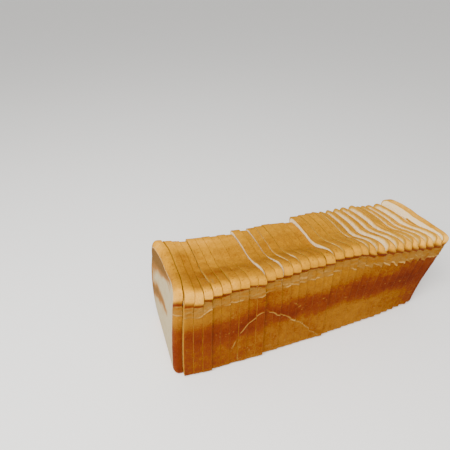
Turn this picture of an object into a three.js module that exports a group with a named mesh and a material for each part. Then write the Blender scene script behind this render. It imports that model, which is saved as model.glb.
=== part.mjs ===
// A sliced sandwich loaf from an open tin. It stands on its foot, thin slices in a row, the last ones fanned
// out and leaning. Millimetres: X along the loaf, Y from its front side to its back, Z up.
import * as THREE from "three";

// The loaf and its slices
const sliceCount = 32;
const cutThickness = 11;
const heelThickness = 14;
const tightJoint = 0.45;
const loafWidth = 108;
const leanHeight = 138;
const bendPower = 1.4;

// The crust's section, measured from a slice's own front side, foot and rim
const footRadius = 4;
const rimOverhang = 4;
const lipOut = 2.5;
const notchBelowLip = 4;
const notchIn = 1;
const shredDepth = 38;
const crestBack = 3;
const crestRise = 5;
const valleyStart = 52;
const crownRise = 1.5;
const shoulderRadius = 9;
const shoulderOut = 1.5;
const backLipDrop = 12;
const backNotchDrop = 19;
const midSide = 45;
const sideBelly = 0.8;
const roofDistances = [3, 10, 17, 24, 32, 40, 52, 68, 84, 99];
const roundSteps = 2;

// Both ends of the loaf are rounded over before they close flat
const endRound = 6.5;
const heelRound = 6.5;
const roundAngles = [0, 35, 65, 90];
const endFaceShare = 0.6;

// How far the rings on a cut face are drawn in towards its middle, from the inmost to its edge
const faceShares = [0.62, 0.28, 0];

// Places along the loaf, as [cut or slice number, millimetres]. Cut 0 is the first slice's outer face.
const footStations = [[0, -6], [4, 40.5], [10, 109.5], [23, 252.5], [30, 331.5], [31, 345], [32, 360]];
const frontLeanStations = [[0, 10.5], [4, 4.5], [10, -2.5], [17, -3.8], [24, -2.5], [32, 1]];
const backLeanStations = [[0, 6.3], [1, 7.2], [4, 2], [10, -6], [17, -5], [32, -6]];
const frontStations = [[1, 1], [2, -5.5], [4, -8], [5, -6.5], [10, -8], [11, -6], [18, -5], [19, -3],
  [22, -2], [27, 0], [31, 5], [32, 7]];
const topStations = [[1, 136.5], [2, 137], [4, 133.5], [5, 134.5], [10, 129.5], [11, 133], [13, 128],
  [14, 131], [17, 129], [18, 125.5], [19, 132.5], [21, 132.3], [22, 129.3], [23, 125.2], [27, 122.7],
  [28, 117.8], [31, 112.5], [32, 120]];
const rimStations = [[1, 141], [2, 141.5], [3, 138.5], [6, 140], [8, 141.5], [10, 138], [11, 142],
  [14, 144], [16, 144], [18, 141.5], [19, 143], [21, 141.5], [22, 138.5], [23, 134.5], [27, 126],
  [31, 115], [32, 115]];
const lipDropStations = [[3, 15], [4, 9], [8, 8.5], [10, 6.5], [11, 8], [16, 8], [18, 6.5], [20, 6.5],
  [23, 8]];

// The first slices have bowed: in towards the row in the middle of their tops, and the end face out at the
// back, most of all halfway up, as [cut, millimetres]
const bowStations = [[0, 4.5], [1, 4.5], [4, 0]];
const bulgeStations = [[0, 4.4], [1, 0]];

// Where the slices have fanned apart: the room that opens in front of a cut at its top, as [cut, at the
// front side, at the back], how steeply a slice's top falls towards its far face, and how much thinner the
// slice is up there
const fanOpenings = [[18, 1.6, 0.3], [19, 2.8, 1.7], [20, 0, 0.5], [22, 2.1, 2.2], [23, 2.6, 1.5],
  [24, 6, 2.4], [25, 2, 0.2], [26, 1.3, 5.4], [27, 2.2, 1.7], [28, 3.5, -0.5], [29, 3.7, 0], [30, 6.7, 7.2],
  [31, 2.9, 3.8]];
const topTiltStations = [[1, 0.08], [4, 0.03], [5, 0], [18, 0], [21, 0.05], [22, 0.3], [23, 0.5],
  [28, 0.56], [31, 0.56], [32, 0]];
const topThinning = [[20, 0], [23, 1.5], [26, 1.5], [27, 0], [28, 1.8], [31, 2], [32, 0]];

const crustColor = "#c28c40";
const heelColor = "#b97f35";
const crustRoughness = 0.72;

// A straight line between the stations on either side of a place
function along(stations, place) {
  const last = stations.length - 1;
  let i = 1;
  while (i < last && stations[i][0] < place) i += 1;
  const [from, low] = stations[i - 1];
  const [to, high] = stations[i];
  const share = THREE.MathUtils.clamp((place - from) / (to - from), 0, 1);
  return THREE.MathUtils.lerp(low, high, share);
}

// How far a cut's top stands from its foot along the loaf, with all the fan openings up to it
function frontLean(cut) {
  const opened = fanOpenings.filter(([at]) => at <= cut);
  return opened.reduce((sum, [, room]) => sum + room, along(frontLeanStations, cut));
}

function backLean(cut) {
  const opened = fanOpenings.filter(([at]) => at <= cut);
  return opened.reduce((sum, [, , room]) => sum + room, along(backLeanStations, cut));
}

// How far a cut bulges out at the back
function bulgeAt(cut, y, z) {
  const back = THREE.MathUtils.clamp(y / loafWidth, 0, 1);
  const height = THREE.MathUtils.clamp(z / leanHeight, 0, 1);
  return along(bulgeStations, cut) * back ** 2 * Math.sin(Math.PI * height);
}

// X of a cut at a point of the section: its foot, plus a lean that differs from front to back and grows
// faster than the height, plus its bow, less its bulge
function cutX(cut, y, z) {
  const back = THREE.MathUtils.clamp(y / loafWidth, 0, 1);
  const height = Math.max(z / leanHeight, 0);
  const lean = THREE.MathUtils.lerp(frontLean(cut), backLean(cut), y / loafWidth);
  const bow = along(bowStations, cut) * Math.sin(Math.PI * back) * height ** 3;
  return along(footStations, cut) + lean * height ** bendPower + bow - bulgeAt(cut, y, z);
}

// X of a slice's far face: its cut thickness, or less where the next slice presses on it
function farX(slice, thickness, y, z) {
  const near = cutX(slice - 1, y, z);
  if (slice === sliceCount) return near + thickness;
  const thinning = along(topThinning, slice) * Math.max(z / leanHeight, 0) ** 2;
  const full = thickness + bulgeAt(slice - 1, y, z) - thinning;
  return near + Math.min(full, cutX(slice, y, z) - near - tightJoint);
}

// Points of a round corner, as [y, z], from one angle to another in degrees
function arc(centerY, centerZ, radiusY, radiusZ, from, to, steps) {
  return Array.from({ length: steps + 1 }, (_, i) => {
    const angle = THREE.MathUtils.degToRad(THREE.MathUtils.lerp(from, to, i / steps));
    return [centerY + radiusY * Math.cos(angle), centerZ + radiusZ * Math.sin(angle)];
  });
}

// Height of the top crust at a distance from the front side: a level top that swells into the front rim
function topHeight(distance, rim, top) {
  const roofSpan = loafWidth - shoulderRadius - valleyStart;
  const reach = THREE.MathUtils.clamp((distance - valleyStart) / roofSpan, 0, 1);
  const level = top + crownRise * Math.sin(Math.PI * reach);
  const swell = 1 - THREE.MathUtils.smoothstep(distance, crestBack, valleyStart);
  return level + (rim + crestRise - top) * swell;
}

// One slice's outline as [y, z], from the front foot up over the rim and top and down the back
function sliceOutline(slice) {
  const rim = along(rimStations, slice);
  const top = along(topStations, slice);
  const lipDrop = along(lipDropStations, slice);
  const shoulder = loafWidth - shoulderRadius;
  const front = [
    ...arc(footRadius, footRadius, footRadius, footRadius, 270, 180, roundSteps),
    [0, midSide],
    [-sideBelly, rim - shredDepth],
    [notchIn, rim - lipDrop - notchBelowLip],
    [-lipOut, rim - lipDrop],
    [-rimOverhang, rim - lipDrop / 2],
    ...arc(crestBack, rim, crestBack + rimOverhang, crestRise, 180, 120, roundSteps),
  ];
  const roof = roofDistances.map((y) => [y, topHeight(y, rim, top)]);
  const back = [
    ...arc(shoulder, top - shoulderRadius, shoulderRadius + shoulderOut, shoulderRadius, 60, 0, roundSteps),
    [loafWidth + shoulderOut, top - backLipDrop],
    [loafWidth - notchIn, top - backNotchDrop],
    [loafWidth + sideBelly, top - shredDepth],
    [loafWidth, midSide],
    ...arc(loafWidth - footRadius, footRadius, footRadius, footRadius, 0, -90, roundSteps),
    [loafWidth / 2, 0],
  ];
  return [...front, ...roof, ...back];
}

// The outline drawn in towards the slice's middle by a share
function shrink(outline, share, middle) {
  return outline.map(([y, z]) => [
    THREE.MathUtils.lerp(y, middle[0], share),
    THREE.MathUtils.lerp(z, middle[1], share),
  ]);
}

// Closed skin through rings of points: a fan on the first ring, bands between rings, a fan on the last
function skinOfRings(rings, startTip, endTip) {
  const count = rings[0].length;
  const points = [startTip, ...rings.flat(), endTip];
  const index = [];
  const at = (ring, i) => 1 + ring * count + (i % count);
  for (let i = 0; i < count; i += 1) {
    index.push(0, at(0, i), at(0, i + 1));
    for (let ring = 0; ring < rings.length - 1; ring += 1) {
      index.push(at(ring, i), at(ring + 1, i), at(ring + 1, i + 1));
      index.push(at(ring, i), at(ring + 1, i + 1), at(ring, i + 1));
    }
    index.push(points.length - 1, at(rings.length - 1, i + 1), at(rings.length - 1, i));
  }
  const geometry = new THREE.BufferGeometry();
  geometry.setAttribute("position", new THREE.Float32BufferAttribute(points.flat(), 3));
  geometry.setIndex(index);
  geometry.computeVertexNormals();
  return geometry;
}

// How steeply a slice falls towards its far face at a height. A slice that leans forward tips over its far
// foot, and its top has a slope of its own.
function slopeAt(slice, z) {
  const tip = Math.max(frontLean(slice - 1) / leanHeight, 0);
  return THREE.MathUtils.lerp(tip, along(topTiltStations, slice), z / leanHeight);
}

// One side of a slice as [share drawn in, depth below that side's face] from its middle out: a flat cut face,
// or an end of the loaf with its edges rounded over
function sideRings(round) {
  if (round === 0) return faceShares.map((share) => [share, 0]);
  const edges = roundAngles.map((degrees) => {
    const angle = THREE.MathUtils.degToRad(degrees);
    return [(round * (1 - Math.cos(angle))) / (loafWidth / 2), round * (1 - Math.sin(angle))];
  });
  return [[endFaceShare, 0], ...edges.reverse()];
}

// One slice: both sides as rings that close on their middles, joined by the crust
function sliceGeometry(slice) {
  const thickness = slice === sliceCount ? heelThickness : cutThickness;
  const nearRound = slice === 1 ? endRound : 0;
  const farRound = slice === sliceCount ? heelRound : 0;
  const setBack = along(frontStations, slice);
  const outline = sliceOutline(slice);
  const middle = [loafWidth / 2, along(topStations, slice) / 2];
  const place = ([y, z], across) => {
    const depth = y + setBack;
    const height = z + (thickness - farRound - across) * slopeAt(slice, z);
    const share = across / thickness;
    const near = cutX(slice - 1, depth, height);
    return [THREE.MathUtils.lerp(near, farX(slice, thickness, depth, height), share), depth, height];
  };
  const ring = (share, across) => shrink(outline, share, middle).map((p) => place(p, across));
  const near = sideRings(nearRound).map(([share, depth]) => ring(share, depth));
  const far = sideRings(farRound).reverse().map(([share, depth]) => ring(share, thickness - depth));
  return skinOfRings([...near, ...far], place(middle, 0), place(middle, thickness));
}

function sliceMesh(slice) {
  const isHeel = slice === sliceCount;
  const material = new THREE.MeshStandardMaterial({
    color: isHeel ? heelColor : crustColor,
    roughness: crustRoughness,
    metalness: 0,
  });
  const mesh = new THREE.Mesh(sliceGeometry(slice), material);
  mesh.name = isHeel ? "heel" : `slice_${String(slice).padStart(2, "0")}`;
  return mesh;
}

// The origin is put under the middle of the loaf's box, on what it stands on
function centre(loaf) {
  const box = new THREE.Box3().setFromObject(loaf, true);
  const middle = box.getCenter(new THREE.Vector3());
  loaf.position.set(-middle.x, -middle.y, -box.min.z);
}

const loaf = new THREE.Group();
for (let slice = 1; slice <= sliceCount; slice += 1) loaf.add(sliceMesh(slice));
centre(loaf);

const group = new THREE.Group();
group.add(loaf);
export default group;
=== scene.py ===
import math
from types import SimpleNamespace

import bpy
import numpy as np
from mathutils import Matrix


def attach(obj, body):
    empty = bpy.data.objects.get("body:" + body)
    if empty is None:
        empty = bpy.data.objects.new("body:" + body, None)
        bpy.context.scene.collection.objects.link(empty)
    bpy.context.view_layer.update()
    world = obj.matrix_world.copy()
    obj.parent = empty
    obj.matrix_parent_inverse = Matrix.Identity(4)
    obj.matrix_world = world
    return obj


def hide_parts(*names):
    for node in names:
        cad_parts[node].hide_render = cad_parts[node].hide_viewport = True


# A sandwich loaf baked in an open tin and sliced. The last slices have fanned out and lean on one another.
# Lengths in the dictionaries are millimetres: x along the loaf, y from its front side to its back, z up.
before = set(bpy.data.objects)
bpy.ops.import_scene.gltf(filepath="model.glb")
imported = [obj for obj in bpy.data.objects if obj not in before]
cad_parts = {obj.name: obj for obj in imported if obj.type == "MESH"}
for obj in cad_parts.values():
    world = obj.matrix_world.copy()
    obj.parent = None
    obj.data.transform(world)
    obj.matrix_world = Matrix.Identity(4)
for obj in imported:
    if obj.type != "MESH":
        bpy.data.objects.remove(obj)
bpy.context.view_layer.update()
print("frame loaded")

loaf = {
    "slices": 32,
    "cutThickness": 11.0,
    "heelThickness": 14.0,
    "width": 108.0,
    "leanHeight": 138.0,
    "bendPower": 1.4,
    "shift": (-189.244, -52.25, 0.0),  # from the loaf's own zero, its first front foot, to the frame's
    # places along the loaf as (cut or slice number, millimetres); cut 0 is the first slice's outer face
    "foot": [(0, -6), (4, 40.5), (10, 109.5), (23, 252.5), (30, 331.5), (31, 345), (32, 360)],
    "frontLean": [(0, 10.5), (4, 4.5), (10, -2.5), (17, -3.8), (24, -2.5), (32, 1)],
    "backLean": [(0, 6.3), (1, 7.2), (4, 2), (10, -6), (17, -5), (32, -6)],
    # the first slices have bowed: in towards the row in the middle of their tops, and the end face out at the
    # back, most of all halfway up
    "bow": [(0, 4.5), (1, 4.5), (4, 0)],
    "bulge": [(0, 4.4), (1, 0)],
    # how far back its front side stands, how high its top and rim are, and how far the lip is below the rim
    "front": [(1, 1), (2, -5.5), (4, -8), (5, -6.5), (10, -8), (11, -6), (18, -5), (19, -3), (22, -2),
              (27, 0), (31, 5), (32, 7)],
    "top": [(1, 136.5), (2, 137), (4, 133.5), (5, 134.5), (10, 129.5), (11, 133), (13, 128), (14, 131),
            (17, 129), (18, 125.5), (19, 132.5), (21, 132.3), (22, 129.3), (23, 125.2), (27, 122.7),
            (28, 117.8), (31, 112.5), (32, 120)],
    "rim": [(1, 141), (2, 141.5), (3, 138.5), (6, 140), (8, 141.5), (10, 138), (11, 142), (14, 144),
            (16, 144), (18, 141.5), (19, 143), (21, 141.5), (22, 138.5), (23, 134.5), (27, 126), (31, 115),
            (32, 115)],
    "lipDrop": [(3, 15), (4, 9), (8, 8.5), (10, 6.5), (11, 8), (16, 8), (18, 6.5), (20, 6.5), (23, 8)],
    # where the slices have fanned apart: (cut, room that opens in front of it at the front side, at the back)
    "fan": [(18, 1.6, 0.3), (19, 2.8, 1.7), (20, 0, 0.5), (22, 2.1, 2.2), (23, 2.6, 1.5), (24, 6, 2.4),
            (25, 2, 0.2), (26, 1.3, 5.4), (27, 2.2, 1.7), (28, 3.5, -0.5), (29, 3.7, 0), (30, 6.7, 7.2),
            (31, 2.9, 3.8)],
    # how steeply a slice's top falls towards its far face, and how much thinner the slice is up there
    "topTilt": [(1, 0.08), (4, 0.03), (5, 0), (18, 0), (21, 0.05), (22, 0.3), (23, 0.5), (28, 0.56),
                (31, 0.56), (32, 0)],
    "topThinning": [(20, 0), (23, 1.5), (26, 1.5), (27, 0), (28, 1.8), (31, 2), (32, 0)],
}
halfWidth = loaf["width"] / 2

section = {
    "footRadius": 4.0,
    "rimOverhang": 4.0,
    "softLip": [(2, 1), (4, 0), (22, 0), (25, 0.6), (32, 0.8)],  # how far the lip blends into the side
    "crestBack": 3.0,
    "crestRise": 5.0,
    "valleyStart": 52.0,
    "crownRise": 1.5,
    "shoulderRadius": 9.0,
    "shoulderOut": 1.5,
    "roofDepths": [3, 10, 17, 24, 32, 40, 52, 68, 84, 99],  # of the top's points, from the front side
    "bell": 1.3,  # how far the corners are softened
    "crestBell": 4.6,  # and the crest of the rim
    "crestFade": (5, 14),  # distances from the crest between which the one turns into the other
    "step": 0.25,  # between points before they are picked
    "points": 460,  # round a slice
}


# straight lines between the stations on either side of a place
def along(stations, place):
    spots, values = zip(*stations)
    return np.interp(place, spots, values)


# a step from 0 to 1 between two places, eased at both ends by three squares less two cubes
def ease(value, start, end):
    part = np.clip((value - start) / (end - start), 0, 1)
    return part * part * (3 - 2 * part)


# a bump that is 1 at its middle and falls off as a bell
def bell(value, middle, spread):
    return np.exp(-0.5 * ((value - middle) / spread) ** 2)


# how far a cut's top stands from its foot at the front side and the back: its lean plus all the room up to it
def leans(cut):
    opened = [rooms for at, *rooms in loaf["fan"] if at <= cut] + [(0, 0)]
    front, back = np.sum(opened, 0)
    return along(loaf["frontLean"], cut) + front, along(loaf["backLean"], cut) + back


# how far a cut bulges out at the back: the square of the depth times a sine of the height
def bulgeAt(cut, y, z):
    height = np.clip(z / loaf["leanHeight"], 0, 1)
    return along(loaf["bulge"], cut) * np.clip(y / loaf["width"], 0, 1) ** 2 * np.sin(np.pi * height)


# x of a cut: its foot, plus a lean that runs evenly from front to back and grows as height to the power 1.4,
# plus a bow that is a sine of the depth times the height cubed, less its bulge
def cutX(cut, y, z):
    front, back = leans(cut)
    lean = front + (back - front) * y / loaf["width"]
    height = np.maximum(z / loaf["leanHeight"], 0)
    bow = along(loaf["bow"], cut) * np.sin(np.pi * np.clip(y / loaf["width"], 0, 1)) * height ** 3
    return along(loaf["foot"], cut) + lean * height ** loaf["bendPower"] + bow - bulgeAt(cut, y, z)


# points of a round corner, centre plus radii times cosine and sine
def arc(centreY, centreZ, radiusY, radiusZ, start, end, steps):
    angle = np.radians(np.linspace(start, end, steps + 1))
    return np.stack([centreY + radiusY * np.cos(angle), centreZ + radiusZ * np.sin(angle)], 1)


# height of the top crust: a level top with a slight sine crown, swelling by an eased step into the front rim
def topHeight(y, rim, top):
    crest, valley = section["crestBack"], section["valleyStart"]
    reach = (y - valley) / (loaf["width"] - section["shoulderRadius"] - valley)
    level = top + section["crownRise"] * np.sin(np.pi * np.clip(reach, 0, 1))
    return level + (rim + section["crestRise"] - top) * (1 - ease(y, crest, valley))


# corner points of a slice's section, from the front foot over rim and top, down the back and along the foot
def sectionCorners(number):
    rim, top, width = along(loaf["rim"], number), along(loaf["top"], number), loaf["width"]
    foot, crest, over = section["footRadius"], section["crestBack"], section["rimOverhang"]
    shoulder, out = section["shoulderRadius"], section["shoulderOut"]
    roof = np.array(section["roofDepths"], float)
    lip = along(loaf["lipDrop"], number)
    soft = along(section["softLip"], number)
    return np.vstack([
        arc(foot, foot, foot, foot, 270, 180, 4),
        [(0, 45), (-0.8, rim - 38), (1 - 1.8 * soft, rim - lip - 4), (soft - 2.5, rim - lip),
         (-over, rim - lip / 2)],
        arc(crest, rim, crest + over, section["crestRise"], 180, 120, 4),
        np.stack([roof, topHeight(roof, rim, top)], 1),
        arc(width - shoulder, top - shoulder, shoulder + out, shoulder, 60, 0, 4),
        [(width + out, top - 12), (width - 1, top - 19), (width + 0.8, top - 38), (width, 45)],
        arc(width - foot, foot, foot, foot, 0, -90, 4),
        [(halfWidth, 0)],
    ])


# a closed ring of even points, each the mean of its neighbours in a bell-shaped window
def softened(ring, spread):
    reach = int(4 * spread / section["step"])
    window = bell(np.arange(-reach, reach + 1) * section["step"], 0, spread)
    wrapped = np.vstack([ring[-reach:], ring, ring[:reach]])
    return [np.convolve(wrapped[:, axis], window / window.sum(), "valid") for axis in (0, 1)]


# the section as a smooth curve: stepped evenly between its corners, softened, more so near the crest, then
# picked at even shares of a running sum of densities
def smoothSection(number):
    corners = sectionCorners(number)
    ring = np.vstack([corners, corners[:1]])
    runs = np.concatenate([[0], np.cumsum(np.hypot(*np.diff(ring, axis=0).T))])
    count = int(runs[-1] / section["step"])
    spots = np.arange(count) * runs[-1] / count
    even = np.stack([np.interp(spots, runs, ring[:, axis]) for axis in (0, 1)], 1)
    firm, loose = (np.array(softened(even, section[window])) for window in ("bell", "crestBell"))
    fromCrest = np.hypot(even[:, 0] + 1, even[:, 1] - along(loaf["rim"], number) - 3)
    soft = np.transpose(firm + (loose - firm) * (1 - ease(fromCrest, *section["crestFade"])))
    # points stand closest on the front side and its rim and furthest apart under the foot
    density = 1.0 + 1.6 * (soft[:, 0] < 8) + 0.3 * (soft[:, 1] > 100) - 0.6 * (soft[:, 1] < 2.5)
    total = np.concatenate([[0], np.cumsum(density)])
    order = np.arange(count + 1)
    picks = np.interp(np.linspace(0, total[-1], section["points"], endpoint=False), total, order)
    closed = np.vstack([soft, soft[:1]])
    return np.stack([np.interp(picks, order, closed[:, axis]) for axis in (0, 1)], 1)


# smooth noise from -1 to 1: a random number at each corner of a lattice of this size, blended by eased steps
def grain(points, size, seed):
    scaled = points / size + seed * 17.31
    cell = np.floor(scaled).astype(np.int64)
    part = scaled - cell
    part = part * part * (3 - 2 * part)
    total = np.zeros(points.shape[:-1])
    for corner in range(8):
        step = np.array([corner & 1, corner >> 1 & 1, corner >> 2 & 1])
        key = ((cell + step) * np.array([73856093, 19349663, 83492791])).sum(-1) & 0x7fffffff
        key = (key ^ (key >> 15)) * 2246822519 & 0xffffffff
        key = (key ^ (key >> 13)) * 3266489917 & 0xffffffff
        total += np.prod(np.where(step, part, 1 - part), -1) * ((key ^ (key >> 16)) / 2147483647.5 - 1)
    return total


# small rounded pits: each cell of a jittered lattice holds one, as deep as 1 less the distance squared
def pits(u, v, size, seed):
    depth = np.zeros(u.shape)
    cellU, cellV = (np.floor(place / size).astype(np.int64) for place in (u, v))
    for stepU in (-1, 0, 1):
        for stepV in (-1, 0, 1):
            key = ((cellU + stepU) * 73856093 + (cellV + stepV) * 19349663 + seed * 83492791) & 0x7fffffff
            draws = []
            for prime in (2246822519, 3266489917, 668265263):
                key = (key ^ (key >> 13)) * prime & 0xffffffff
                draws.append((key ^ (key >> 16)) / 4294967295)
            far = np.hypot((cellU + stepU + draws[0]) * size - u, (cellV + stepV + draws[1]) * size - v)
            reach = size * (0.15 + 0.5 * draws[2] ** 2)
            depth = np.maximum(depth, (1 - (far / reach) ** 2) * reach)
    return depth


# distance from points to a chain of straight pieces, by the nearest place on each, and how far along that is
def chainDistance(u, v, chain):
    best, place = np.full(u.shape, 1e9), np.zeros(u.shape)
    for i in range(len(chain) - 1):
        (u0, v0), (u1, v1) = chain[i][:2], chain[i + 1][:2]
        goU, goV = u1 - u0, v1 - v0
        part = np.clip(((u - u0) * goU + (v - v0) * goV) / (goU ** 2 + goV ** 2), 0, 1)
        far = np.hypot(u - u0 - part * goU, v - v0 - part * goV)
        place = np.where(far < best, i + part, place)
        best = np.minimum(far, best)
    return best, place


print("rules ready")

sliceLook = {
    "tight": 0.03,  # gap between two slices that press on each other
    # cut: gap on the sides and gap over the top, and the heights between which the one turns into the other
    "joints": {1: (0.4, 0.8), 3: (0.05, 0.3), 4: (0.05, 0.9), 5: (0.05, 0.3), 6: (0.05, 0.3), 8: (0.05, 0.3),
               10: (0.4, 1.3), 12: (0.4, 1.6), 13: (0.05, 0.5), 14: (0.1, 0.8), 15: (0.1, 0.8),
               16: (0.1, 0.7), 17: (0.1, 1.8), 19: (0.1, 0.8), 20: (0.1, 0.8), 21: (0.1, 0.6)},
    "jointTurn": (110, 128),
    # cut: cracks that widen it, as (y, z, reach, gap)
    "cracks": {2: [(-5, 114, 5, 0.7)], 3: [(-2, 142, 13, 0.6)], 5: [(0, 143, 9, 0.3)],
               6: [(4, 144, 9, 0.8)], 7: [(-6, 10, 9, 0.8)], 11: [(100, 133, 9, 0.5)],
               12: [(-3, 143, 17, 0.8)], 13: [(80, 131, 20, 0.4)], 23: [(-3, 100, 14, 0.6)],
               24: [(-3, 106, 7, 0.9)]},
    "edgeRound": 0.15,
    "openDepth": (5, 15),  # the fanned slices only stand apart above this depth below the crust
    # slices were handled one by one, but each of these with the next, and turned a little so that the far end
    # stands forwards and hangs lower at the rim, in millimetres a slice
    "pairs": (7, 9),
    "turned": 1.7,
    "footTurned": 0.5,
    "hung": 0.6,
    # slice: how much higher its top stands than the row's, at the front side and at the back
    "lifts": {10: (1, 0), 11: (-1.5, -0.6), 12: (-0.8, -1.8), 13: (-1.6, 2.6), 14: (-1, 0.2), 15: (0, 0.8),
              17: (-0.8, -0.8)},
    # slice: how far its near face is browned in from the crust, as (y, reach); partly the crust's own brown,
    # partly painted shade where the face lies in a narrow gap
    "stainsAndShade": {2: [(6, 9), (12, 3)], 4: [(6, 1), (12, 2.5)], 5: [(0, 2)], 6: [(6, 1), (12, 2)],
               7: [(6, 1), (12, 3)], 11: [(0, 2), (30, 2.6), (60, 0.3)], 15: [(6, 1), (12, 0.6)],
               18: [(6, 1), (12, 1.2)], 19: [(0, 3), (20, 5), (60, 4), (90, 1.5)]},
    # the crust's section seen on a cut face is drawn thicker at the fanned end, most so at the rim: partly
    # the crust's own section, partly painted shade in the gaps between fanned slices
    "thickLinesAndShade": [(18, 1.0), (20, 0.75), (24, 0.62), (32, 0.58)],
    "thickRimAndShade": 0.85,
    "thickRimFrom": 20,  # the first slice with it
    # slice: how thin its brown line is against the usual one
    "thinLines": {11: 2.2, 13: 2.2, 19: 2.0, 32: 1.6},
    "coatDepth": 4,  # how far in from the crust its relief and colour are worked out
    "bandRows": 14,
    "hiddenRings": 5,
    "shownRings": 22,
    "endRings": 44,
    "edgeSteps": 3,  # round a cut edge, and round an end of the loaf
    "endSteps": 9,
    "shown": (11, 13, 18),  # near faces that show as strips; so do all from slice 19 on
    "stray": 0.35,  # how far a slice strays from the row, forwards or upwards
    "strayFrom": 11,
}

draws = np.random.default_rng(12).uniform(-1, 1, (loaf["slices"] + 1, 2)) * sliceLook["stray"]
strays = draws * (np.arange(loaf["slices"] + 1) >= sliceLook["strayFrom"])[:, None]

# both ends of the loaf are its own crust, rounded over before it lies flat
ends = {
    "nearRound": 6.5,
    "farRound": 6.5,
    # the heel is thinner at its rim and fuller below, between these heights, and only near its front side
    "farTaper": 3.5,
    "taperHeights": (96, 114),
    "farBulge": 1.5,
    "bulgeRises": (30, 80),
    "bulgeFalls": (100, 120),
    "farDepths": (0, 50),
    "lumpHeight": 0.5,
    "strip": (108.5, 112.2),  # heights between which torn crust sticks to the heel's near face
    "stripEnd": (62, 84),
    "stripHeight": 0.5,
    # brown marks on the first slice's outer face: an arc as (y, z, half width), and how far down from the top
    # edge the brown reaches as (y, depth)
    "arc": [(128, 52, 20), (108, 60, 20), (90, 67, 18), (72, 75, 16), (54, 80, 12), (34, 78, 7)],
    "corner": [(0, 6), (30, 9), (50, 16), (70, 28), (90, 40), (112, 50)],
}


# gap in front of a cut: one width on the sides, eased into another over the top, plus its cracks as bells
def gapAt(cut, y, z):
    side, roof = sliceLook["joints"].get(cut, (sliceLook["tight"], sliceLook["tight"]))
    gap = side + (roof - side) * ease(z, *sliceLook["jointTurn"])
    for crackY, crackZ, reach, width in sliceLook["cracks"].get(cut, []):
        gap = gap + width * bell(np.hypot(y - crackY, z - crackZ), 0, reach)
    return gap


# x of a slice's far face: its near face plus its cut thickness, thinned as the square of the height, or less
# where the next slice presses on it; the heel's is tapered and bulged in eased steps of the height
def farX(number, thickness, y, z):
    near = cutX(number - 1, y, z)
    front = along(loaf["front"], number)
    if number == loaf["slices"]:
        bulge = ends["farBulge"] * ease(z, *ends["bulgeRises"]) * (1 - ease(z, *ends["bulgeFalls"]))
        taper = ends["farTaper"] * ease(z, *ends["taperHeights"]) - bulge
        return near + thickness - taper * (1 - ease(y - front, *ends["farDepths"]))
    thinned = thickness + bulgeAt(number - 1, y, z)
    thinned = thinned - along(loaf["topThinning"], number) * np.maximum(z / loaf["leanHeight"], 0) ** 2
    room = cutX(number, y, z) - near - gapAt(number, y, z)
    roof = topHeight(y - front, along(loaf["rim"], number), along(loaf["top"], number))
    thinned = thinned + np.maximum(room - thinned, 0) * ease(roof - z, *sliceLook["openDepth"])
    return near + np.minimum(thinned, room)


# how far along its slice or pair of slices a place is, from -0.5 to 0.5, and how many slices that is
def inGroup(number, part):
    isSecond = number - 1 in sliceLook["pairs"]
    length = 1 + (isSecond or number in sliceLook["pairs"])
    return (isSecond + part) / length - 0.5, length


# how steeply a slice falls towards its far face: evenly with the height from the tip of a slice that leans
# forward over its far foot to its top's own slope
def slopeAt(number, z):
    tip = max(leans(number - 1)[0] / loaf["leanHeight"], 0)
    return tip + (along(loaf["topTilt"], number) - tip) * z / loaf["leanHeight"]


# rows of one side of a slice from its middle out, as how far each is drawn in from the crust and how deep it
# lies below that side's face: flat rings that close up towards the crust, then a quarter circle
def sideRows(rings, radius, steps):
    flat = radius + (np.arange(rings, 0, -1) / rings) ** 1.5 * (halfWidth - 1 - radius)
    bend = np.radians(np.linspace(90, 0, steps + 1))
    inset = np.concatenate([flat, radius * (1 - np.cos(bend))])
    return inset, np.concatenate([np.zeros(rings), radius * (1 - np.sin(bend))])


# all rows of a slice, from the middle of one face to that of the other: one side's rows, even rows across the
# crust, and the other side's in reverse
def sliceRows(number, thickness):
    edge, edgeSteps = sliceLook["edgeRound"], sliceLook["edgeSteps"]
    isShown = number in sliceLook["shown"] or number > max(sliceLook["shown"])
    rings = sliceLook["shownRings"] if isShown else sliceLook["hiddenRings"]
    nearInset, nearDeep = sideRows(rings, edge, edgeSteps)
    farInset, farDeep = sideRows(sliceLook["hiddenRings"] + 3 * isShown, edge, edgeSteps)
    if number == 1:
        nearInset, nearDeep = sideRows(sliceLook["endRings"], ends["nearRound"], sliceLook["endSteps"])
    if number == loaf["slices"]:
        farInset, farDeep = sideRows(sliceLook["endRings"], ends["farRound"], sliceLook["endSteps"])
    band = np.linspace(nearDeep[-1], thickness - farDeep[-1], sliceLook["bandRows"])[1:-1]
    inset = np.concatenate([nearInset, np.zeros(len(band)), farInset[::-1]])
    return inset, np.concatenate([nearDeep, band, thickness - farDeep[::-1]])


# stands a slice's rows in the loaf: turned and hung by the height cubed, lifted evenly with the height,
# sloped by the distance from its resting face, and set between its two cuts in even shares
def standInRow(number, thickness, across, flat):
    depth, tall, part = flat[..., 0], flat[..., 1], across[:, None] / thickness
    turn, length = inGroup(number, part)
    strayY, strayZ = strays[number]
    lifted = np.maximum(tall / loaf["leanHeight"], 0)
    turned = sliceLook["footTurned"] + (sliceLook["turned"] - sliceLook["footTurned"]) * lifted ** 3
    y = depth + along(loaf["front"], number) + strayY - turned * length * turn
    hung = sliceLook["hung"] * length * turn * lifted ** 3 * (1 - ease(depth, 10, 50))
    liftFront, liftBack = sliceLook["lifts"].get(number, (0, 0))
    raised = (strayZ + liftFront + (liftBack - liftFront) * depth / loaf["width"]) * lifted
    restsAt = thickness - ends["farRound"] * (number == loaf["slices"])
    z = tall + raised - hung + (restsAt - across[:, None]) * slopeAt(number, tall)
    x = cutX(number - 1, y, z) * (1 - part) + farX(number, thickness, y, z) * part
    return np.stack([x, y, z], -1)


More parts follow.
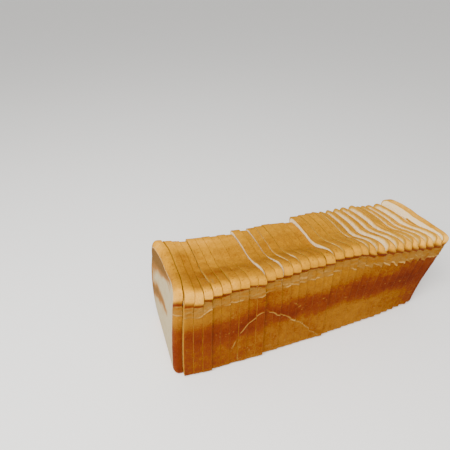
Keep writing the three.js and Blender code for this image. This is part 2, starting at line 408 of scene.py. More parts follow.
crust = {
    "lumpSize": 24.0,
    "lumpHeight": 0.3,
    "wrinkleSize": (5.0, 3.2, 3.2),
    "wrinkleHeight": 0.08,
    "lipWobble": 0.7,
    # how much each slice's rim swells between its cuts
    "nub": [(3, 0.2), (5, 0.5), (11, 0.5), (14, 0.9), (18, 1.1), (21, 1.5), (23, 2.3), (31, 2.2), (32, 0.8)],
    # how far below the lip the torn band starts and ends, and how far those edges wander
    "bandTop": 5.5,
    "bandTopWander": 1.6,
    "bandFoot": 19.0,
    "bandFootWander": 3.4,
    "bandHeight": 0.5,
    "bandRough": 0.7,
    "tearHeight": 0.4,
    "tearWidth": 1.0,
    "foldHeight": 0.6,
    "foldWidth": 0.65,
    "sunk": 0.5,  # how deep the side lies under the fold
    "slip": 1.1,  # how far the slices have slipped against one another at the fold
    "dimpleSize": 4.5,
    "dimples": 0.3,
    "topPitSize": 3.2,
    "topPits": 0.35,
    # an arched fold low on the front side, as (x, z)
    "fold": [(66, 30), (70, 38), (77, 56), (87, 72), (97, 80), (104, 85), (112, 84), (125, 73), (147, 59),
             (165, 38), (191, 6)],
    # pale rubbed spots on the top, as (x, y, reach)
    "scuffs": [(246, 62, 5), (252, 55, 3), (44, 18, 4), (45, 8, 4), (46, 0, 3)],
}

browningAndShading = {
    # how brown the crust is, from 0 for pale gold to 1 for the darkest, by slice number; some zones also hold
    # painted shade and painted highlights, as noted at each
    "low": [(1, 0.88), (2, 0.8), (4, 0.8), (8, 0.73), (10, 0.7), (14, 0.66), (18, 0.63), (22, 0.58),
            (26, 0.64), (28, 0.68), (30, 0.74), (32, 0.84)],
    "band": [(1, 0.8), (2, 0.87), (6, 0.88), (8, 0.84), (12, 0.84), (14, 0.88), (20, 0.85), (24, 0.9),
             (28, 0.96), (32, 0.95)],
    "high": [(1, 0.46), (2, 0.54), (4, 0.6), (8, 0.68), (10, 0.76), (12, 0.7), (14, 0.62), (18, 0.57),
             (22, 0.61), (26, 0.74), (30, 0.83), (32, 0.8)],
    "crest": [(1, 0.35), (2, 0.45), (3, 0.6), (6, 0.55), (10, 0.44), (14, 0.52), (20, 0.44), (24, 0.32),
              (32, 0.05)],
    # the valley behind the rim is darker: browner crust, and painted shade in the dip
    "valley": [(1, 0.41), (2, 0.54), (3, 0.64), (4, 0.68), (6, 0.66), (8, 0.57), (14, 0.57), (18, 0.46),
               (25, 0.38), (32, 0.15)],
    "flat": [(1, 0.35), (2, 0.5), (3, 0.56), (6, 0.36), (8, 0.42), (14, 0.5), (18, 0.46), (22, 0.36),
             (27, 0.2), (32, 0.0)],
    # the back and its top edge are paler: partly paler crust, partly a painted sheen
    "back": [(1, 0.05), (2, 0.14), (6, 0.11), (8, 0.2), (14, 0.36), (19, 0.36), (23, 0.2), (27, 0.1),
             (32, -0.04)],
    "backEdge": [(1, 0.13), (3, 0.14), (6, 0.22), (10, 0.34), (18, 0.36), (32, 0.2)],
    # the rim's nose is paler: a painted highlight over its paler crust
    "nose": [(1, 0.02), (4, 0.06), (9, 0.24), (18, 0.22), (22, 0.18), (25, 0.1), (28, -0.04), (32, -0.16)],
    # shares of the height over which the sides turn to the next zone
    "bandFrom": (0.3, 0.46),
    "highFrom": (0.54, 0.72),
    # depths over which the top does: bells as (middle, spread), eased steps as (start, end)
    "crestBell": (9, 6),
    "valleyBell": (24, 10),
    "backFrom": (66, 92),
    "backEdgeFrom": (94, 102),
    "noseTo": (-4.5, 8),
    # painted shade under the lip, where the rim's shadow falls
    "underLipShade": 0.86,
    "torn": 0.6,
    "palest": -0.19,
}


# a torn edge that wanders along the loaf: a ridge at this drop below the rim, broken where a noise is low
def tear(place, drop, level, wander, seed):
    run = place * (1, 0, 0)
    waves = grain(run, 17, seed) + 0.5 * grain(run, 6, seed + 1) + 0.16 * grain(run, 2.4, seed + 2)
    line = level + wander * waves
    here = ease(grain(place * (1, 0, 1), 11, seed + 3), -0.5, 0.2)
    return line, bell(drop, line, crust["tearWidth"]) * here


# where each point of the crust lies: y and z in its slice's outline, how much it faces each way by eased
# steps of its normal, and how far it is below the rim, the slice's lip and the lip as it runs along the row
def crustPlaces(number, outline, normal, place, across):
    shape, spot = place.shape[:2], number - 0.5 + across[:, None]
    y, z = (np.broadcast_to(outline[None, :, axis], shape) for axis in (0, 1))
    onFront = np.broadcast_to(ease(-normal[:, 0], 0.3, 0.8) * (outline[:, 0] < halfWidth), shape)
    onBack = np.broadcast_to(ease(normal[:, 0], 0.3, 0.8) * (outline[:, 0] > halfWidth), shape)
    isFront = y < halfWidth
    lipDrop = along(loaf["lipDrop"], number)
    drop = np.where(isFront, along(loaf["rim"], number), along(loaf["top"], number) - 5) - z
    # the torn band and the browning run on from slice to slice
    rimHere, topHere = along(loaf["rim"], spot), along(loaf["top"], spot)
    return SimpleNamespace(
        number=number, place=place, x=place[..., 0], y=y, z=z, spot=spot, across=across[:, None],
        isFront=isFront, onFront=onFront, onSide=onFront + onBack,
        onTop=np.broadcast_to(ease(normal[:, 1], 0.2, 0.7), shape),
        lipDrop=lipDrop, drop=drop, below=drop - lipDrop,
        row=np.where(isFront, rimHere, topHere - 5) - z - along(loaf["lipDrop"], spot),
        height=np.where(isFront, z / rimHere, z / topHere) + 0.025 * grain(place, 28, 30))


# relief of lumps and wrinkles as noise, and of a lip that wobbles as noise and swells as a sine across slices
def lumpsAndLip(at):
    place = at.place
    lumps = grain(place, crust["lumpSize"], 1) + 0.4 * grain(place, crust["lumpSize"] / 3, 2)
    relief = crust["lumpHeight"] * lumps * (0.5 + 0.5 * at.onTop)
    relief += crust["wrinkleHeight"] * grain(place, crust["wrinkleSize"], 3) * (0.4 + at.onTop)
    lip = bell(at.drop, at.lipDrop / 2 - 3, at.lipDrop / 2 + 1) * at.isFront
    relief += crust["lipWobble"] * lip * (0.7 * grain(place, 19, 4) + 0.5 * grain(place, 7, 5))
    swell = np.sin(np.pi * np.clip(at.across, 0, 1)) ** 0.8
    return relief + along(crust["nub"], at.number) * (swell - 0.72) * lip


# the torn band under the rim: rough noise between wandering torn edges, which stand up as ridges; gives its
# relief, its share at each point and how torn that is
def tornBand(at):
    place, below, row = at.place, at.below, at.row
    top, foot = crust["bandTop"], crust["bandFoot"]
    upper, upperEdge = tear(place, below, top, crust["bandTopWander"], 6)
    lower, lowerEdge = tear(place, row, foot, crust["bandFootWander"], 40)
    middleEdge = tear(place, row, (top + foot) / 2 + 1, 3.5, 50)[1]
    band = ease(below, upper - 2.0, upper + 1.0) * (1 - ease(row, lower - 1.0, lower + 2.4)) * at.onSide
    rough = 0.6 * grain(place, (5, 2.6, 2.2), 10) + 0.5 * grain(place, (2.2, 1.3, 1.1), 15)
    patch = grain(place, (13, 6, 5), 44) + 0.6 * grain(place, (5, 3, 2.4), 45)
    ridge = np.clip(0.4 * upperEdge + lowerEdge + 0.5 * middleEdge, 0, 1) * at.onSide
    relief = band * (crust["bandHeight"] + crust["bandRough"] * rough) + crust["tearHeight"] * ridge
    return relief, band, band * (0.26 + 0.14 * rough + 0.22 * patch) + 0.62 * ridge


# the arched fold as a bell of the distance from its chain, and the side sunk under it; gives its relief, the
# fold's share and how much darker the crust is drawn beside it where it is not sunk, as painted shade along
# the crease
def archedFold(at):
    place, x, z = at.place, at.x, at.z
    slip = crust["slip"] * np.sin(at.number * 2.3)
    wander = 1.2 * grain(place, 7, 16) + 0.6 * grain(place, 2.6, 17)
    far, run = chainDistance(x + wander, z + slip + wander, crust["fold"])
    here = ease(run, 0, 1) * ease(grain(place, 9, 12), -0.7, -0.1) * at.onFront
    fold = bell(far, 0, crust["foldWidth"]) * here
    under = (z + slip < along(crust["fold"], x)) & (x > crust["fold"][0][0]) & (x < crust["fold"][-1][0])
    under = under * ease(far, 0, 1.6) * at.onFront
    relief = crust["foldHeight"] * fold - crust["sunk"] * under
    return relief, fold, 0.07 * bell(far, 5, 4) * here * (1 - under)


# depth of the dimples on the sides and of the pits in the top, both cut off below and above
def dimplesAndPits(at, band):
    dimples = pits(at.x, at.z + at.y, crust["dimpleSize"], 3) * 0.4 - 0.8
    dimples = np.clip(dimples, 0, crust["dimples"]) * at.onSide * (1 - band) * (at.below > 4)
    topPits = pits(at.x, at.y, crust["topPitSize"], 5) - 1.45
    return dimples, np.clip(topPits, 0, crust["topPits"]) * at.onTop


# how brown the sides are: eased from zone to zone up the slice, then towards the torn band, a painted shade
# under the lip, painted shade beside the fold, the foot, the nose, paler as a painted highlight, and the
# back's top edge, paler partly as a painted sheen
def sideBrowning(at, shadeBesideFold):
    row, below, spot = at.row, at.below, at.spot
    high, middle, low = (along(browningAndShading[zone], spot) for zone in ("high", "band", "low"))
    side = low + (middle - low) * ease(at.height, *browningAndShading["bandFrom"])
    side = side + (high - middle) * ease(at.height, *browningAndShading["highFrom"])
    side += (browningAndShading["torn"] - side) * (1 - ease(row, crust["bandFoot"] - 6, crust["bandFoot"] + 4))
    # darker under the lip: painted shade
    side += (browningAndShading["underLipShade"] - side) * (1 - ease(below, 4, 8))
    # painted shade beside the fold; paler near the foot
    side += shadeBesideFold - 0.1 * (1 - ease(at.z, 2, 10))
    # towards the nose the side turns paler: a painted highlight
    soft = along(section["softLip"], at.number)
    atNose = (1 - ease(below, -3.5 - 4 * soft, 0.5 + 4 * soft)) * at.isFront
    side += (along(browningAndShading["nose"], spot) - side) * atNose
    # the back's top edge is paler, partly a painted sheen
    return side + (0.4 - side) * (1 - ease(at.drop, 0, 5)) * (at.y > halfWidth)


# how brown the top is, with painted shade in the valley behind the rim, a back and back edge that are paler
# partly as a painted sheen, and a painted highlight at the nose: its zones from front to back, blended in as
# bells and eased steps of the depth
def topBrowning(at):
    y, zones = at.y, ("crest", "flat", "valley", "back", "backEdge", "nose")
    crest, flat, valley, back, edge, nose = (along(browningAndShading[zone], at.spot) for zone in zones)
    # the valley is darker, partly painted shade
    roof = flat + (valley - flat) * bell(y, *browningAndShading["valleyBell"])
    # the back and its edge grow paler, partly a painted sheen
    roof = roof + (back - flat) * ease(y, *browningAndShading["backFrom"])
    roof = roof + (edge - back) * ease(y, *browningAndShading["backEdgeFrom"])
    roof += (crest - roof) * bell(y, *browningAndShading["crestBell"]) * 0.9
    # paler still at the nose: a painted highlight
    return roof + (nose - roof) * (1 - ease(y, *browningAndShading["noseTo"]))


# what the oven did to the crust at each point, with painted shade and highlights added: how far it stands
# out, as the sum of its reliefs, how brown it is, blended from top and sides, and how torn it is
def coat(number, outline, normal, place, across):
    at = crustPlaces(number, outline, normal, place, across)
    bandRelief, band, bandTorn = tornBand(at)
    foldRelief, fold, shadeBesideFold = archedFold(at)
    dimples, topPits = dimplesAndPits(at, band)
    relief = lumpsAndLip(at) + bandRelief + foldRelief - dimples - topPits

    onSide, onTop = at.onSide, at.onTop
    # dimples and pits are drawn browner as they deepen: painted shade in their hollows
    brown = topBrowning(at) * (1 - onSide) + (sideBrowning(at, shadeBesideFold) + 0.3 * dimples) * onSide
    brown += 0.04 * grain(place, 30, 13) + 0.04 * grain(place, 9, 14) + 0.5 * topPits
    fleck = ease(grain(place, (2.4, 1.7, 1.7), 46) + 0.4 * grain(place, 12, 47), 0.6, 1.0)
    torn = bandTorn + 0.7 * fold + 0.33 * fleck * onSide * (at.row > 22)
    for scuffX, scuffY, reach in crust["scuffs"]:
        rubbed = bell(np.hypot(at.x - scuffX, at.y - scuffY), 0, reach) * onTop
        torn = np.maximum(torn, 0.8 * rubbed * ease(grain(place, 2.5, 18), 0.0, 0.5))
    return relief, np.clip(brown, browningAndShading["palest"], 1), np.clip(torn, 0, 1)


# puts a closed skin through a grid of points, with a fan on the middle of each face; all its faces point out
def skin(name, grid, isCrumb):
    rows, count = grid.shape[:2]
    points = np.vstack([grid[0].mean(0), grid.reshape(-1, 3), grid[-1].mean(0)]) / 1000
    here, after = np.arange(count), (np.arange(count) + 1) % count
    first = np.arange(rows - 1)[:, None] * count + 1
    quads = np.stack([first + here, first + count + here, first + count + after, first + after], -1)
    quads = quads.reshape(-1, 4)
    last = (rows - 1) * count + 1
    startFan = np.stack([np.zeros(count, int), 1 + here, 1 + after], -1)
    endFan = np.stack([np.full(count, len(points) - 1), last + after, last + here], -1)
    corners = np.concatenate([quads.ravel(), startFan.ravel(), endFan.ravel()])
    sizes = np.concatenate([np.full(len(quads), 4), np.full(2 * count, 3)])
    slots = np.repeat(np.concatenate([isCrumb, isCrumb[:1], isCrumb[-1:]]), count)
    mesh = bpy.data.meshes.new(name)
    mesh.vertices.add(len(points))
    mesh.vertices.foreach_set("co", points.astype(np.float32).ravel())
    mesh.loops.add(len(corners))
    mesh.loops.foreach_set("vertex_index", corners.astype(np.int32))
    mesh.polygons.add(len(sizes))
    starts = np.cumsum(sizes) - sizes
    for kind, values in (("loop_start", starts), ("loop_total", sizes), ("material_index", slots)):
        mesh.polygons.foreach_set(kind, values.astype(np.int32))
    mesh.update(calc_edges=True)
    mesh.validate()
    mesh.shade_smooth()
    piece = bpy.data.objects.new(name, mesh)
    bpy.context.collection.objects.link(piece)
    return piece


# keeps one number for each point of a piece, with the tips of its fans taking their nearest row's mean
def keep(piece, name, values):
    column = np.concatenate([[values[0].mean()], values.ravel(), [values[-1].mean()]]).astype(np.float32)
    piece.data.attributes.new(name, "FLOAT", "POINT").data.foreach_set("value", column)


# how much of the end crust shows on the first slice's outer face: the most of a soft arc as a bell, a brown
# upper back corner, back edge and inset line, in eased steps of depth and height
def endMarks(flat, grid):
    depth, tall = flat[..., 0], flat[..., 1]
    far, step = chainDistance(depth, tall, ends["arc"])
    wide = np.interp(step, np.arange(len(ends["arc"])), [width for *_, width in ends["arc"]])
    wide = wide * (1 + 0.3 * grain(grid, 12, 21))
    arcMark = 0.62 * bell(far, 0, wide * 0.45) * (1 - 0.5 * (1 - ease(depth, 30, 80)))
    below = along(loaf["top"], 1) - 3 - tall
    brownTo = along(ends["corner"], depth) * (1 + 0.15 * grain(grid, 15, 22))
    cornerMark = 0.75 * (1 - ease(below, brownTo * 0.4, brownTo * 1.15)) * ease(depth, 5, 60)
    backMark = 0.5 * (1 - ease(loaf["width"] - depth, 4, 18)) * ease(tall, 20, 80)
    # a thin inset line where the face turns into the edge
    edgeMark = 0.25 * bell(below, 9 + 2 * grain(grid, 20, 29), 1.6) * ease(depth, 10, 40)
    # a floor of 0.1 lays the end tone, darkened by painted shadow, over the whole face
    return 0.1 + np.maximum.reduce([arcMark, cornerMark, backMark, edgeMark]) + 0.06 * grain(grid, 6, 28)


# share of the heel's near face under a strip of crust that was torn off the next slice: between two wandering
# heights, in eased steps, fading out towards the back
def stuckStrip(flat, grid):
    (low, high), depth, tall = ends["strip"], flat[..., 0], flat[..., 1]
    uneven = 0.7 * grain(grid, (50, 9, 50), 70)
    strip = ease(tall, low + uneven - 0.3, low + uneven + 0.4)
    strip = strip * (1 - ease(tall, high + uneven / 2 - 0.4, high + uneven / 2 + 0.3))
    return strip * (1 - ease(depth + 4 * uneven, *ends["stripEnd"]))


# how deep the crumb lies: pits of two sizes, cut off at half a millimetre, and slow noise away from the crust
def crumbDepth(number, flat, grid, inset):
    large, small = (pits(flat[..., 0], flat[..., 1], size, seed) * 0.16
                    for size, seed in ((5.5, number), (3.1, number + 40)))
    depth = np.minimum(large + small, 0.5) * ease(inset, 1.2, 3.0)[:, None]
    depth = depth + 0.2 * grain(grid, 14, 20) * ease(inset, 3, 12)[:, None]
    return np.clip(depth, 0, 0.6) * (0.3 if number == 1 else 1)


# the heel's outer crust, pressed flat by the tin: its lumps, a browner ring round a paler middle, and how far
# each row has turned into that face, in eased steps
def pressedCrust(grid, inset, across, thickness):
    lumps = ends["lumpHeight"] * (grain(grid, 26, 23) + 0.4 * grain(grid, 8, 24))
    brown = 0.74 - 0.2 * ease(inset, 8, 40)[:, None] + 0.1 * grain(grid, 22, 25) + 0.05 * grain(grid, 7, 26)
    turned = ease(across, thickness - ends["farRound"], thickness)[:, None]
    return lumps * ease(inset, 0, 9)[:, None], brown, turned


# how far in from the crust each point of a cut face lies, times the scale of its brown line, which is drawn
# thicker at the fanned end partly as painted shade, less how far it is browned in, partly painted shade; none
# under the stuck strip, and far in on the outer face, which has no line
def lineReach(number, flat, inset, isNear, strip):
    stainAndShade = along(sliceLook["stainsAndShade"].get(number, [(0, 0)]), flat[..., 0])
    scale = sliceLook["thinLines"].get(number, along(sliceLook["thickLinesAndShade"], number))
    # thicker still near the front side at the rim: painted shade in the fanned gaps
    atRim = (1 - ease(flat[..., 0], 8, 30)) * (sliceLook["thickRimFrom"] <= number < loaf["slices"])
    scale = scale * (1 - (1 - sliceLook["thickRimAndShade"]) * atRim)
    reach = np.maximum(inset[:, None] * scale - stainAndShade * isNear, 0) * (1 - strip)
    return reach + 99 * ((number == 1) & isNear)


# a slice: its section drawn in row by row, leaned, set between its two cuts, then given its relief
def buildSlice(number):
    isFirst, isHeel = number == 1, number == loaf["slices"]
    thickness = loaf["heelThickness"] if isHeel else loaf["cutThickness"]
    inset, across = sliceRows(number, thickness)
    isNear, isFar = (across < 0.01)[:, None], (across > thickness - 0.01)[:, None]
    outline = smoothSection(number)
    run = np.roll(outline, -1, 0) - np.roll(outline, 1, 0)
    normal = np.stack([-run[:, 1], run[:, 0]], 1) / np.hypot(run[:, 0], run[:, 1])[:, None]
    middle = np.array([halfWidth, along(loaf["top"], number) / 2])
    share = np.minimum(inset / halfWidth, 0.995)[:, None, None]
    flat = outline[None] + (middle - outline[None]) * share
    grid = standInRow(number, thickness, across, flat)

    relief, brown, torn = (np.zeros(grid.shape[:2]) for _ in range(3))
    coated = (inset < sliceLook["coatDepth"]) | isFirst | isHeel
    relief[coated], brown[coated], torn[coated] = coat(number, outline, normal, grid[coated],
                                                       across[coated] / thickness)
    hold = (1 - ease(inset, 0, 3.5))[:, None]
    flat = flat + normal[None] * (relief * hold)[..., None]
    grid = standInRow(number, thickness, across, flat)
    strip, marks = np.zeros(brown.shape), np.zeros(brown.shape)
    if isHeel:
        strip = stuckStrip(flat, grid) * isNear
        grid[..., 0] -= ends["stripHeight"] * strip

    # the cut edges wander slightly, and pores open in the crumb
    nearCut, farCut = np.exp(-across / 0.3)[:, None], np.exp(-(thickness - across) / 0.3)[:, None]
    if not isFirst:
        grid[..., 0] += 0.16 * nearCut * (grain(grid, (40, 5, 5), 60) + 0.8)
    if not isHeel:
        grid[..., 0] -= 0.12 * farCut * (grain(grid, (40, 5, 5), 61) + 0.8)
        depth = crumbDepth(number, flat, grid, inset)
        grid[..., 0] += depth * isNear - np.minimum(depth, 0.3) * isFar
    if isFirst:
        marks = endMarks(flat, grid) * isNear * (inset > 4)[:, None]
    if isHeel:
        lumps, endBrown, turned = pressedCrust(grid, inset, across, thickness)
        brown = brown * (1 - turned) + endBrown * turned
        torn = torn * (1 - turned)
        grid[..., 0] += lumps * turned
    grid += np.array(loaf["shift"])

    isCrumb = (inset[:-1] + inset[1:]) / 2 > (ends["nearRound"] if isFirst else sliceLook["edgeRound"]) * 0.9
    isCrumb &= ~(isHeel & (across[1:] > 1))
    name = "heel" if isHeel else f"slice_{number:02d}"
    piece = skin("loafEnd" if isHeel else f"loafSlice{number:02d}", grid, isCrumb)
    keep(piece, "browningAndShading", brown)
    keep(piece, "tearing", torn)
    keep(piece, "endMarks", marks)
    keep(piece, "fromCrust", lineReach(number, flat, inset, isNear, strip))
    cutEdge = np.clip(nearCut * (not isFirst) + farCut * (not isHeel), 0, 1)
    keep(piece, "cutEdge", cutEdge * np.ones(brown.shape))
    piece.data.materials.append(bakedCrust)
    piece.data.materials.append(cutCrumb)
    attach(piece, "root")
    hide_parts(name)


# an sRGB hex colour as linear light: the low end divided, the rest to the power 2.4
def hexLinear(code):
    value = np.array([int(code[i:i + 2], 16) for i in (1, 3, 5)]) / 255
    linear = np.where(value <= 0.04045, value / 12.92, ((value + 0.055) / 1.055) ** 2.4)
    return (*linear.tolist(), 1.0)


# adds a shader node, sets its properties, then fills its sockets with values or links
def addNode(tree, kind, sockets={}, **settings):
    node = tree.nodes.new("ShaderNode" + kind)
    for name, value in settings.items():
        setattr(node, name, value)
    for name, value in sockets.items():
        if isinstance(value, bpy.types.NodeSocket):
            tree.links.new(value, node.inputs[name])
        else:
            node.inputs[name].default_value = value
    return node


# gives a colour ramp its stops, as (place, hex colour)
def fillRamp(node, stops):
    ramp = node.color_ramp
    while len(ramp.elements) < len(stops):
        ramp.elements.new(0.5)
    for element, (place, code) in zip(ramp.elements, stops):
        element.position = place
        element.color = hexLinear(code)


crustPaint = {
    # oven-browned wheat crust by how brown it is, with painted shade and highlights: from the paler rim,
    # partly a painted highlight, to the darkest band against the tin
    "stops": [(browningAndShading["palest"], "#f0b34a"), (0.0, "#d89a30"), (0.15, "#c68714"), (0.35, "#ab730b"),
              (0.5, "#935e08"), (0.65, "#824f06"), (0.8, "#6f3004"), (0.9, "#662504"), (1.0, "#5a1d03")],
    "torn": "#8a5f22",
    "tornPale": "#b18444",
    "cutEdge": "#b9803a",
    # sizes and bump depths of the two patterns, in millimetres
    "mottle": 7.0,
    "mottleDepth": 1.2,
    "speckle": 1.6,
    "speckleDepth": 0.4,
    "roughness": 0.58,
    "specular": 0.03,
}

crumbPaint = {
    # soft white crumb opened by a knife
    "light": "#f6e0b2",
    "shade": "#ead0a0",
    # painted shade in the pores
    "poreShade": "#cead73",
    # sizes and bump depths of its patterns, in millimetres
    "cloud": 6.0,
    "poreSize": 1.7,
    "poreDepth": 0.5,
    "grit": 1.1,
    "gritDepth": 0.4,
    # from the crust inwards, over 5 mm
    "crustLine": [(0.0, "#a87415"), (0.22, "#c09025"), (0.4, "#d8ac48"), (0.6, "#eac678"), (0.85, "#f3dca4")],
    # end crust of the outer face: pale where it rubbed off, brown where it stayed, all of it darkened as a
    # painted shadow of a neighbouring loaf
    "shadedEndStops": [(0.1, "#b2a17c"), (0.26, "#a38355"), (0.42, "#8f5f28"), (0.8, "#6c4a1c")],
    "roughness": 0.85,
    "specular": 0.1,
}


# starts a material with the roughness and specular of its dictionary
def startPaint(name, look):
    paint = bpy.data.materials.new(name)
    paint.use_nodes = True
    shader = paint.node_tree.nodes["Principled BSDF"]
    shader.inputs["Roughness"].default_value = look["roughness"]
    shader.inputs["Specular IOR Level"].default_value = look["specular"]
    return paint, paint.node_tree, shader


# Wheat crust browned in a greased steel tin: satin on top, drier and darker where it lay against the steel.
# How brown it is, with painted shade and highlights, plus two noises picks the colour, tearing plus one mixes
# in torn crust, and cut edges are paler.
def makeCrust():
    paint, tree, shader = startPaint("wheatCrustOvenBrowned", crustPaint)
    spot = addNode(tree, "TexCoord").outputs["Object"]
    brown, torn, edge = (addNode(tree, "Attribute", attribute_name=name).outputs["Fac"]
                         for name in ("browningAndShading", "tearing", "cutEdge"))
    mottle, fine = (addNode(tree, "TexNoise", {"Vector": spot, "Scale": 1000 / crustPaint[size],
                                               "Detail": detail, "Roughness": rough}).outputs["Fac"]
                    for size, detail, rough in (("mottle", 4.0, 0.62), ("speckle", 3.0, 0.7)))
    level = brown
    for pattern, weight in ((mottle, 0.32), (fine, 0.42)):
        level = addNode(tree, "Math", {0: pattern, 1: weight, 2: level}, operation="MULTIPLY_ADD").outputs[0]
    level = addNode(tree, "Math", {0: level, 1: 0.37}, operation="SUBTRACT").outputs[0]
    # the ramp spans the brownness, with its painted shading, from its first stop, below 0, to 1
    paler = -browningAndShading["palest"]
    level = addNode(tree, "Math", {0: level, 1: 1 / (1 + paler), 2: paler / (1 + paler)},
                    operation="MULTIPLY_ADD", use_clamp=True).outputs[0]
    ramp = addNode(tree, "ValToRGB", {"Fac": level})
    fillRamp(ramp, [((place + paler) / (1 + paler), code) for place, code in crustPaint["stops"]])
    rubbed = addNode(tree, "Math", {0: fine, 1: 0.5, 2: torn}, operation="MULTIPLY_ADD").outputs[0]
    tornShare, paleShare, edgeShare = (addNode(tree, "MapRange", {
        "Value": value, "From Min": low, "From Max": high, "To Max": most}).outputs[0]
        for value, low, high, most in ((rubbed, 0.38, 0.66, 1.0), (rubbed, 0.78, 1.1, 1.0),
                                       (mottle, 0.4, 0.75, 0.4)))
    edgeShare = addNode(tree, "Math", {0: edge, 1: edgeShare}, operation="MULTIPLY").outputs[0]
    color = ramp.outputs["Color"]
    for share, tint in ((tornShare, "torn"), (paleShare, "tornPale"), (edgeShare, "cutEdge")):
        color = addNode(tree, "Mix", {0: share, 6: color, 7: hexLinear(crustPaint[tint])},
                        data_type="RGBA").outputs[2]
    bump = addNode(tree, "Bump", {
        "Height": fine, "Strength": 0.5, "Distance": crustPaint["speckleDepth"] / 1000})
    wide = addNode(tree, "Bump", {
        "Height": mottle, "Strength": 0.4, "Distance": crustPaint["mottleDepth"] / 1000,
        "Normal": bump.outputs["Normal"]})
    tree.links.new(color, shader.inputs["Base Color"])
    tree.links.new(wide.outputs["Normal"], shader.inputs["Normal"])
    return paint


# Soft white wheat crumb cut by a band knife: fine uneven pores, matte, with the crust's section as a brown
# rim. Cells paint shade into the pores, the distance from the crust picks the rim, and marks lay the end
# crust, darkened by painted shadow, over it.
def makeCrumb():
    paint, tree, shader = startPaint("wheatCrumbKnifeCut", crumbPaint)
    spot = addNode(tree, "TexCoord").outputs["Object"]
    reach, marks = (addNode(tree, "Attribute", attribute_name=name).outputs["Fac"]
                    for name in ("fromCrust", "endMarks"))
    cloud, fine = (addNode(tree, "TexNoise", {"Vector": spot, "Scale": 1000 / crumbPaint[size],
                                              "Detail": detail}).outputs["Fac"]
                   for size, detail in (("cloud", 3.0), ("grit", 2.0)))
    cells = addNode(tree, "TexVoronoi", {"Vector": spot, "Scale": 1000 / crumbPaint["poreSize"]},
                    feature="SMOOTH_F1").outputs["Distance"]
    # the pores are darkened: painted shade
    shadedPoreShare = addNode(tree, "MapRange", {
        "Value": cells, "From Min": 0.05, "From Max": 0.35, "To Min": 0.6, "To Max": 0.0}).outputs[0]
    pored = hexLinear(crumbPaint["shade"])
    for share, tint in ((cloud, "light"), (shadedPoreShare, "poreShade")):
        pored = addNode(tree, "Mix", {0: share, 6: pored, 7: hexLinear(crumbPaint[tint])},
                        data_type="RGBA").outputs[2]
    uneven = addNode(tree, "Math", {0: cloud, 1: -1.6, 2: reach}, operation="MULTIPLY_ADD").outputs[0]
    share = addNode(tree, "Math", {0: uneven, 1: 0.2, 2: 0.16},
                    operation="MULTIPLY_ADD", use_clamp=True).outputs[0]
    line = addNode(tree, "ValToRGB", {"Fac": share})
    fillRamp(line, crumbPaint["crustLine"])
    level = addNode(tree, "Math", {0: cloud, 1: 0.16, 2: marks}, operation="MULTIPLY_ADD").outputs[0]
    level = addNode(tree, "Math", {0: level, 1: 0.08}, operation="SUBTRACT").outputs[0]
    endTone = addNode(tree, "ValToRGB", {"Fac": level})
    fillRamp(endTone, crumbPaint["shadedEndStops"])
    # past the crust's section the crumb takes over, and where there are marks the end crust does, darkened by
    # painted shadow
    color = line.outputs["Color"]
    for value, low, high, tone in ((share, 0.3, 0.7, pored), (marks, 0.0, 0.04, endTone.outputs["Color"])):
        over = addNode(tree, "MapRange", {"Value": value, "From Min": low, "From Max": high}).outputs[0]
        color = addNode(tree, "Mix", {0: over, 6: color, 7: tone}, data_type="RGBA").outputs[2]
    bump = addNode(tree, "Bump", {
        "Height": cells, "Strength": 0.6, "Distance": crumbPaint["poreDepth"] / 1000})
    grit = addNode(tree, "Bump", {
        "Height": fine, "Strength": 0.4, "Distance": crumbPaint["gritDepth"] / 1000,
        "Normal": bump.outputs["Normal"]})
    tree.links.new(color, shader.inputs["Base Color"])
    tree.links.new(grit.outputs["Normal"], shader.inputs["Normal"])
    return paint


bakedCrust, cutCrumb = makeCrust(), makeCrumb()
print("materials ready")

for number in range(1, loaf["slices"] + 1):
    buildSlice(number)
print("slices built")

studio = {
    "cameraPlace": (-225.87, -345.2, 433.9),
    "focal": 389.18,  # in pixels of the picture
    "picture": 450,  # its width
    "sensor": 36,
    "yaw": 18.608,  # degrees, as the next two are
    "pitch": 35.184,
    "roll": -0.501,
    "floor": "#f2f0ec",
    "floorReach": 12,  # metres
    "world": 0.8,
    "key": 31.0,
    "keyPlace": (-580, -500, 1050),
    "keySize": 900,
}


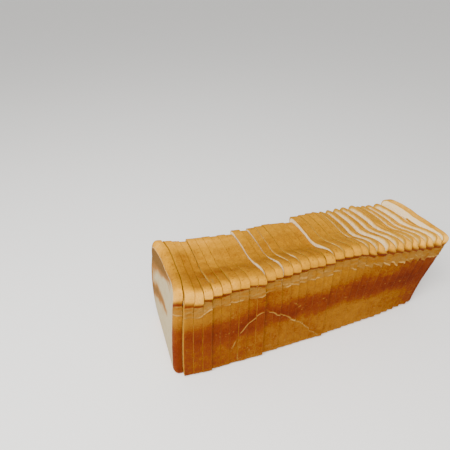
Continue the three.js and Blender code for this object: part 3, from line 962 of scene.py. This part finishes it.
# a square of matte paper at height 0
def addFloor():
    reach = studio["floorReach"]
    mesh = bpy.data.meshes.new("floor")
    mesh.from_pydata([(-reach, -reach, 0), (reach, -reach, 0), (reach, reach, 0), (-reach, reach, 0)], [],
                     [(0, 1, 2, 3)])
    floor = bpy.data.objects.new("floor", mesh)
    bpy.context.collection.objects.link(floor)
    paint = bpy.data.materials.new("matteStudioPaper")
    paint.use_nodes = True
    shader = paint.node_tree.nodes["Principled BSDF"]
    shader.inputs["Base Color"].default_value = hexLinear(studio["floor"])
    shader.inputs["Roughness"].default_value = 0.9
    mesh.materials.append(paint)


# even light from all round, and one large square lamp that faces the loaf
def addLights():
    world = bpy.data.worlds.new("softRoom")
    world.use_nodes = True
    sky = world.node_tree.nodes["Background"].inputs
    sky["Color"].default_value = (1, 1, 1, 1)
    sky["Strength"].default_value = studio["world"]
    bpy.context.scene.world = world
    light = bpy.data.lights.new("key", "AREA")
    light.size = studio["keySize"] / 1000
    light.energy = studio["key"]
    lamp = bpy.data.objects.new("key", light)
    lamp.location = [v / 1000 for v in studio["keyPlace"]]
    lamp.rotation_mode = "QUATERNION"
    lamp.rotation_quaternion = (-lamp.location).to_track_quat("-Z", "Y")
    bpy.context.collection.objects.link(lamp)


# the camera looks along yaw and pitch, then rolls about its line of sight
def addCamera():
    yaw, pitch, roll = (math.radians(studio[key]) for key in ("yaw", "pitch", "roll"))
    forward = np.array([math.sin(yaw) * math.cos(pitch), math.cos(yaw) * math.cos(pitch), -math.sin(pitch)])
    right = np.array([math.cos(yaw), -math.sin(yaw), 0])
    up = np.cross(right, forward)
    turnedRight = math.cos(roll) * right + math.sin(roll) * up
    turnedUp = -math.sin(roll) * right + math.cos(roll) * up
    lens = bpy.data.cameras.new("camera")
    lens.sensor_width = studio["sensor"]
    lens.lens = studio["focal"] / studio["picture"] * studio["sensor"]
    camera = bpy.data.objects.new("camera", lens)
    place = Matrix(np.stack([turnedRight, turnedUp, -forward], 1).tolist()).to_4x4()
    place.translation = [v / 1000 for v in studio["cameraPlace"]]
    camera.matrix_world = place
    bpy.context.collection.objects.link(camera)
    bpy.context.scene.camera = camera


addFloor()
addLights()
addCamera()
print("studio ready")
